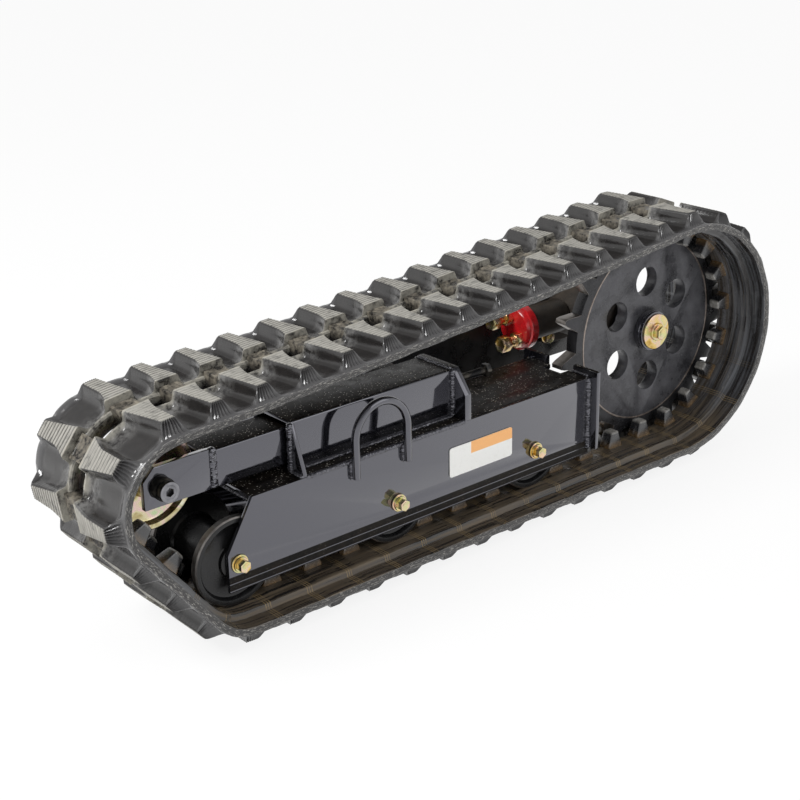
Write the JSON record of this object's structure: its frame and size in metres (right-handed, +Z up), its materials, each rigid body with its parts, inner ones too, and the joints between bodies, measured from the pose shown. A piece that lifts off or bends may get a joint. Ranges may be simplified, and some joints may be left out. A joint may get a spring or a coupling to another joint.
{
  "type": "mini skid steer track undercarriage unit",
  "caption": "Rubber track undercarriage unit: lugged belt round a toothed drive sprocket, road rollers and a sliding tension idler on a welded frame with a hydraulic drive motor.",
  "frame": {"origin": "on the ground, under the middle of the whole unit's box", "axes": "+X to the machine's rear, where the drive sprocket is; +Y inboard, from the track to the chassis; +Z up"},
  "size_m": [1.334, 0.385, 0.4434],
  "materials": {
    "black_rubber": "worn matt black rubber",
    "dark_cast_steel": "dark satin cast steel",
    "gloss_black_paint": "gloss black powder coat",
    "yellow_zinc": "yellow zinc plating",
    "black_oxide": "black oxide steel",
    "red_paint": "gloss red paint",
    "white_enamel": "blank white enamel"
  },
  "bodies": {
    "track_frame": {"rubber_track": "black_rubber", "drive_sprocket": "dark_cast_steel", "sprocket_hub": "dark_cast_steel", "road_roller_1": "dark_cast_steel", "road_roller_2": "dark_cast_steel", "road_roller_3": "dark_cast_steel", "motor_bearing_housing": "gloss_black_paint", "motor_flange": "gloss_black_paint", "outer_side_panel": "gloss_black_paint", "inner_side_panel": "gloss_black_paint", "frame_top_plate": "gloss_black_paint", "outer_end_plate": "gloss_black_paint", "inner_end_plate": "gloss_black_paint", "main_beam": "gloss_black_paint", "front_gusset_outer": "gloss_black_paint", "front_gusset_inner": "gloss_black_paint", "rear_gusset": "gloss_black_paint", "tie_down_loop": "gloss_black_paint", "mounting_plate": "gloss_black_paint", "front_arm": "gloss_black_paint", "rear_arm": "gloss_black_paint", "port_neck": "gloss_black_paint", "hub_washer": "yellow_zinc", "hub_bolt": "yellow_zinc", "port_fitting_outer": "yellow_zinc", "port_fitting_inner": "yellow_zinc", "roller_axle_1": "yellow_zinc", "roller_axle_2": "yellow_zinc", "roller_axle_3": "yellow_zinc", "lock_nut": "black_oxide", "drive_motor": "red_paint", "port_block": "red_paint", "sign_plate": "white_enamel"},
    "idler_slide": {"fork_tube": "gloss_black_paint", "fork_cheek_outer": "gloss_black_paint", "fork_cheek_inner": "gloss_black_paint", "idler_wheel": "yellow_zinc", "idler_axle": "black_oxide", "adjuster_screw": "black_oxide"}
  },
  "joints": [
    {"name": "idler_tension_slide", "type": "slide", "parent": "track_frame", "child": "idler_slide", "axis": [1, 0, 0], "range_m": [0, 0.035]}
  ]
}
